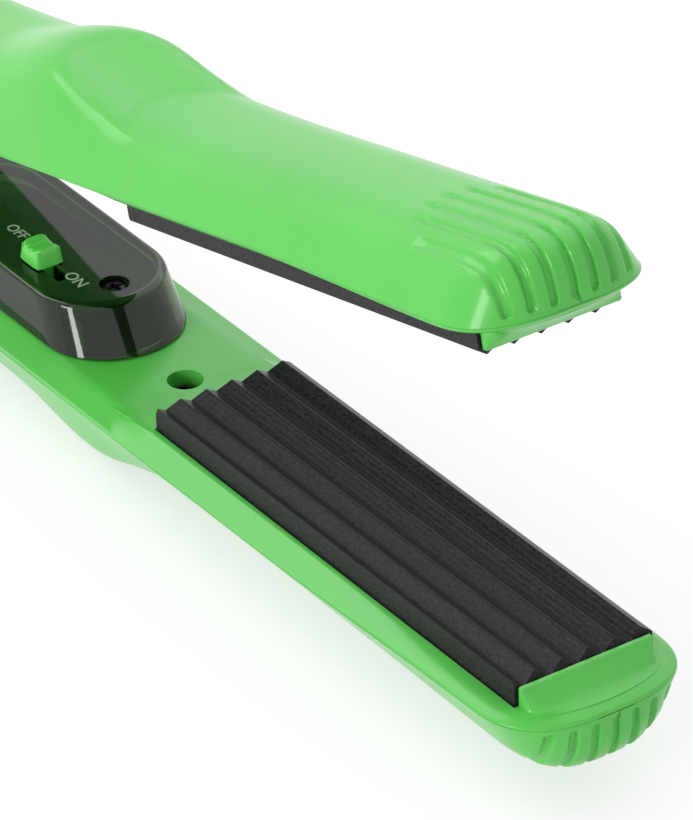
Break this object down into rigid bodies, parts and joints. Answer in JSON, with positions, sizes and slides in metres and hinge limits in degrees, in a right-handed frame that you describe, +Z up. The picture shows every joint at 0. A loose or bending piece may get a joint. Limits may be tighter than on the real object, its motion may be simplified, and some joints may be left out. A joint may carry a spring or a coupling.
{
  "type": "hair crimper",
  "caption": "Hand-held hair crimper: two long moulded arms on a rear hinge, meshing corrugated heating plates at the tips, a slide switch under a smoked cover on the lower arm.",
  "frame": {"origin": "under the middle of the whole length, on the surface that the lower arm lies on", "axes": "+X from the hinge towards the tips, +Z up, the switch knob lies on the -Y side of the middle plane"},
  "size_m": [0.2734, 0.0358, 0.0939],
  "materials": {
    "green_plastic": "bright green moulded plastic, satin gloss",
    "dark_green_plastic": "deeper green moulded plastic",
    "coated_plate": "near-black non-stick coating on an extruded plate",
    "smoked_plastic": "smoked, near-black, high gloss",
    "black_plastic": "black, matte",
    "steel": "plated steel",
    "spring_steel": "bright spring wire",
    "ceramic": "unglazed white ceramic",
    "film": "amber insulating sheet",
    "board": "green circuit board",
    "red_lens": "red lens",
    "lead_blue": "insulated wire, blue",
    "lead_brown": "insulated wire, brown"
  },
  "bodies": {
    "lower_arm": {"board_lead_live": "lead_brown", "board_lead_neutral": "lead_blue", "control_board": "board", "cord_gland": "black_plastic", "hinge_pin_far": "steel", "hinge_pin_near": "steel", "hinge_washer_far": "ceramic", "hinge_washer_near": "ceramic", "lower_cover_screw_1": "steel", "lower_cover_screw_2": "steel", "lower_cover_screw_3": "steel", "lower_heater": "ceramic", "lower_heater_clip": "steel", "lower_heater_film": "film", "lower_heater_lead_live": "lead_brown", "lower_heater_lead_neutral": "lead_blue", "lower_inner_cover": "green_plastic", "lower_plate": "coated_plate", "lower_plate_carrier": "black_plastic", "lower_shell": "green_plastic", "lower_terminal_block": "ceramic", "lower_thermal_fuse": "ceramic", "opening_spring": "spring_steel", "pilot_lamp": "red_lens", "supply_lead_live": "lead_brown", "supply_lead_neutral": "lead_blue", "switch_body": "black_plastic", "switch_cover": "smoked_plastic", "switch_cover_screw": "steel"},
    "upper_arm": {"upper_cover_screw_1": "steel", "upper_cover_screw_2": "steel", "upper_cover_screw_3": "steel", "upper_heater": "ceramic", "upper_heater_clip": "steel", "upper_heater_film": "film", "upper_heater_lead_live": "lead_brown", "upper_heater_lead_neutral": "lead_blue", "upper_inner_cover": "green_plastic", "upper_plate": "coated_plate", "upper_plate_carrier": "black_plastic", "upper_shell": "green_plastic", "upper_terminal_block": "ceramic", "upper_thermal_fuse": "ceramic"},
    "switch_knob": {"switch_knob": "dark_green_plastic"}
  },
  "joints": [
    {"name": "arm_hinge", "type": "hinge", "parent": "lower_arm", "child": "upper_arm", "pos_m": [-0.11578, 0, 0.016], "axis": [0, 1, 0], "range_deg": [0, 13], "stiffness_Nm_per_rad": 1, "springref_deg": -25.78, "deforming": ["opening_spring"]},
    {"name": "switch_slide", "type": "slide", "parent": "lower_arm", "child": "switch_knob", "axis": [1, 0, 0], "range_m": [0, 0.004]}
  ]
}
